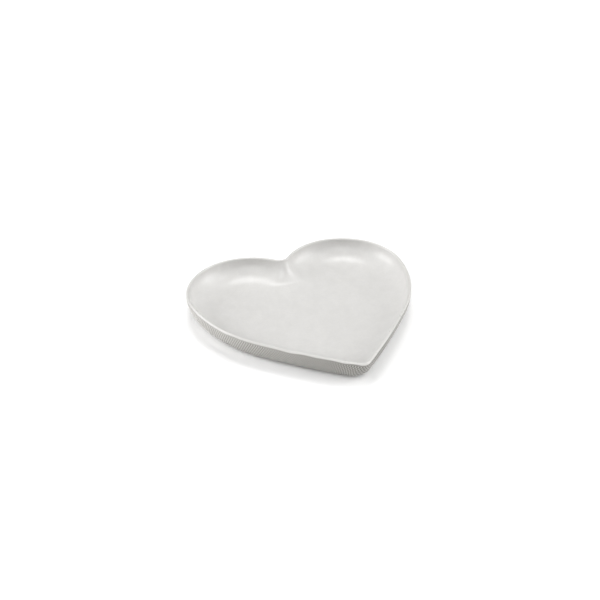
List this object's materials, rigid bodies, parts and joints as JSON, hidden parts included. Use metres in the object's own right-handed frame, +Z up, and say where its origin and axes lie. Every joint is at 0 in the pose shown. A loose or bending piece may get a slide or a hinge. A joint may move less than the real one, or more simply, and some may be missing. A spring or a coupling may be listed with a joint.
{
  "type": "heart-shaped trinket dish",
  "caption": "Open, shallow heart-shaped trinket dish with a smooth lined hollow, woven-covered wall and padded base, for holding jewellery and small things.",
  "frame": {"origin": "middle of the footprint's bounding box, on the underside of the base pad", "axes": "+X across the two lobes, +Y from the heart's tip towards its notch, +Z up out of the dish"},
  "size_m": [0.1098, 0.1035, 0.0121],
  "materials": {
    "lining": "satin",
    "core": "matte",
    "cover": "fine plain weave",
    "infill": "matte",
    "pad": "felted"
  },
  "bodies": {
    "root": {"inner_lining": "lining", "tray_core": "core", "outer_cover": "cover", "base_infill": "infill", "base_pad": "pad"}
  },
  "joints": []
}
